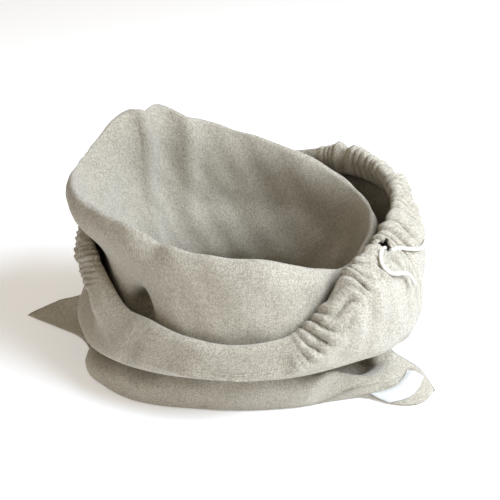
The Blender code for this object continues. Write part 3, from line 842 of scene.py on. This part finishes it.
thread = bpy.data.materials.new("linen coloured thread")
thread.use_nodes = True
nodes, links = thread.node_tree.nodes, thread.node_tree.links
shader = nodes["Principled BSDF"]
shader.inputs["Roughness"].default_value = 0.7
place_in = nodes.new("ShaderNodeTexCoord")
fibre = nodes.new("ShaderNodeTexNoise")
fibre.inputs["Scale"].default_value = 2500
tone = nodes.new("ShaderNodeValToRGB")
tone.color_ramp.elements[0].color = (0.40, 0.36, 0.29, 1)
tone.color_ramp.elements[1].color = (0.60, 0.56, 0.47, 1)
links.new(place_in.outputs["Object"], fibre.inputs["Vector"])
links.new(fibre.outputs["Fac"], tone.inputs["Fac"])
links.new(tone.outputs["Color"], shader.inputs["Base Color"])

STITCH_PITCH = 0.0034
STITCH_HOLES = 0.0027
STITCH_DEPTH = 0.0185
STITCH_RISE = 0.0006
STITCH_RUN = 0.58
spots = []
for count in range(round(STITCH_RUN / STITCH_PITCH)):
    share = count * STITCH_PITCH / STITCH_RUN
    start, square = cloth_spot(share, STITCH_DEPTH, STITCH_RISE)
    end, _ = cloth_spot(share + STITCH_HOLES / STITCH_RUN, STITCH_DEPTH, STITCH_RISE)
    spots.append((start, end, square))
stitches = stitch_mesh("casing_stitches", spots, 0.0026, 0.00045, thread)
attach(stitches, "root")

# Label
# A blank off-white woven tape label sewn flat on the front of the right ear near the bottom seam.
LABEL_THICKNESS = 0.0008
LABEL_LIFT = 0.0008
# Its corners: distance from the side seam and up the panel from the bottom seam
LABEL_CORNERS = ((0.0343, 0.0010), (0.0040, 0.0112), (0.0075, 0.0218), (0.0385, 0.0112))
WIDE, TALL = 49, 21
coarse_grid, coarse_square = grid[:, coarse_columns], square_to(grid)[:, coarse_columns]
coarse_reach = reach[:, coarse_columns]


def on_panel(from_seam, up_panel, out):
    """Point over the front panel at a distance from the side seam and up from the bottom seam."""
    place = (1 - from_seam / PANEL_WIDTH / 2) * COLUMNS_ROUND
    first, share = int(place) % COLUMNS_ROUND, place % 1
    point = np.zeros(3)
    for column, weight in ((first, 1 - share), ((first + 1) % COLUMNS_ROUND, share)):
        for axis in range(3):
            marks = coarse_reach[:fold_row, column]
            where = np.interp(up_panel, marks, coarse_grid[:fold_row, column, axis])
            away = np.interp(up_panel, marks, coarse_square[:fold_row, column, axis])
            point[axis] += weight * (where + out * away)
    return point


over, up_panel = np.meshgrid(np.linspace(0, 1, WIDE), np.linspace(0, 1, TALL))
low_left, low_right, high_right, high_left = (np.array(row) for row in LABEL_CORNERS)
low = low_left + (low_right - low_left) * over[..., None]
high = high_left + (high_right - high_left) * over[..., None]
spots = (low + (high - low) * up_panel[..., None]).reshape(-1, 2)
points = [Vector(on_panel(*spot, LABEL_LIFT + LABEL_THICKNESS / 2)) + SHIFT for spot in spots]
faces = [
    (r * WIDE + c, r * WIDE + c + 1, (r + 1) * WIDE + c + 1, (r + 1) * WIDE + c)
    for r in range(TALL - 1) for c in range(WIDE - 1)
]
label_mesh = bpy.data.meshes.new("label_tape")
label_mesh.from_pydata([tuple(p) for p in points], [], faces)
marks = np.stack([over.ravel() * 0.033, up_panel.ravel() * 0.014], -1)
label_map = label_mesh.uv_layers.new(name="cloth")
label_map.data.foreach_set("uv", marks[np.array(faces).ravel()].ravel())
for face in label_mesh.polygons:
    face.use_smooth = True
label = bpy.data.objects.new("label_tape", label_mesh)
bpy.context.scene.collection.objects.link(label)
thick = label.modifiers.new("thickness", "SOLIDIFY")
thick.thickness = LABEL_THICKNESS
thick.offset = 0
tape = bpy.data.materials.new("woven label tape")
tape.use_nodes = True
nodes, links = tape.node_tree.nodes, tape.node_tree.links
shader = nodes["Principled BSDF"]
shader.inputs["Roughness"].default_value = 0.7
cloth_place = nodes.new("ShaderNodeUVMap")
cloth_place.uv_map = "cloth"
parts_of = nodes.new("ShaderNodeSeparateXYZ")
links.new(cloth_place.outputs["UV"], parts_of.inputs[0])
rib = joined(joined(joined(parts_of.outputs[1], "MULTIPLY", math.pi / 0.00032), "SINE"), "ABSOLUTE")
warp = joined(joined(joined(parts_of.outputs[0], "MULTIPLY", math.pi / 0.00024), "SINE"), "ABSOLUTE")
tape_weave = joined(joined(rib, "MULTIPLY", 0.7), "ADD", joined(warp, "MULTIPLY", 0.3))
tone = nodes.new("ShaderNodeValToRGB")
tone.color_ramp.elements[0].color = (0.42, 0.415, 0.385, 1)
tone.color_ramp.elements[1].color = (0.64, 0.63, 0.59, 1)
links.new(tape_weave, tone.inputs["Fac"])
links.new(tone.outputs["Color"], shader.inputs["Base Color"])
bump = nodes.new("ShaderNodeBump")
bump.inputs["Strength"].default_value = 0.4
bump.inputs["Distance"].default_value = 0.0002
links.new(tape_weave, bump.inputs["Height"])
links.new(bump.outputs["Normal"], shader.inputs["Normal"])
label.data.materials.append(tape)
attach(label, "root")
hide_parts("label")

# Floor and light
# A plain white surface and soft studio light: strong from high on the right, gentle from the left.
FLOOR_DROP = -0.0004
floor_mesh = bpy.data.meshes.new("floor")
corners = [(x, y, FLOOR_DROP) for x, y in ((-3, -3), (3, -3), (3, 3), (-3, 3))]
floor_mesh.from_pydata(corners, [], [(0, 1, 2, 3)])
floor = bpy.data.objects.new("floor", floor_mesh)
bpy.context.scene.collection.objects.link(floor)
floor_skin = bpy.data.materials.new("white floor")
floor_skin.use_nodes = True
floor_shader = floor_skin.node_tree.nodes["Principled BSDF"]
floor_shader.inputs["Base Color"].default_value = (0.93, 0.93, 0.93, 1)
floor_shader.inputs["Roughness"].default_value = 0.9
floor_shader.inputs["Emission Color"].default_value = (1.0, 1.0, 1.0, 1)
floor_shader.inputs["Emission Strength"].default_value = 0.30
floor.data.materials.append(floor_skin)

world = bpy.data.worlds.new("studio")
world.use_nodes = True
world.node_tree.nodes["Background"].inputs["Color"].default_value = (1.0, 0.875, 0.695, 1)
world.node_tree.nodes["Background"].inputs["Strength"].default_value = 0.37
bpy.context.scene.world = world
bpy.context.scene.view_settings.view_transform = "Standard"
bpy.context.scene.view_settings.look = "None"

# Name, place, size, watts and colour of each lamp
LAMPS = (
    ("window", (0.72, -0.08, 0.74), 0.60, 20.0, (0.86, 0.965, 1.12)),
    ("fill", (-0.7, -0.9, 0.9), 1.2, 2.0, (1.0, 0.96, 0.90)),
)
for name, spot, size, watts, colour in LAMPS:
    lamp_data = bpy.data.lights.new(name, "AREA")
    lamp_data.size = size
    lamp_data.energy = watts
    lamp_data.color = colour
    lamp = bpy.data.objects.new(name, lamp_data)
    lamp.location = spot
    lamp.rotation_euler = Vector(spot).to_track_quat("Z", "Y").to_euler()
    bpy.context.scene.collection.objects.link(lamp)
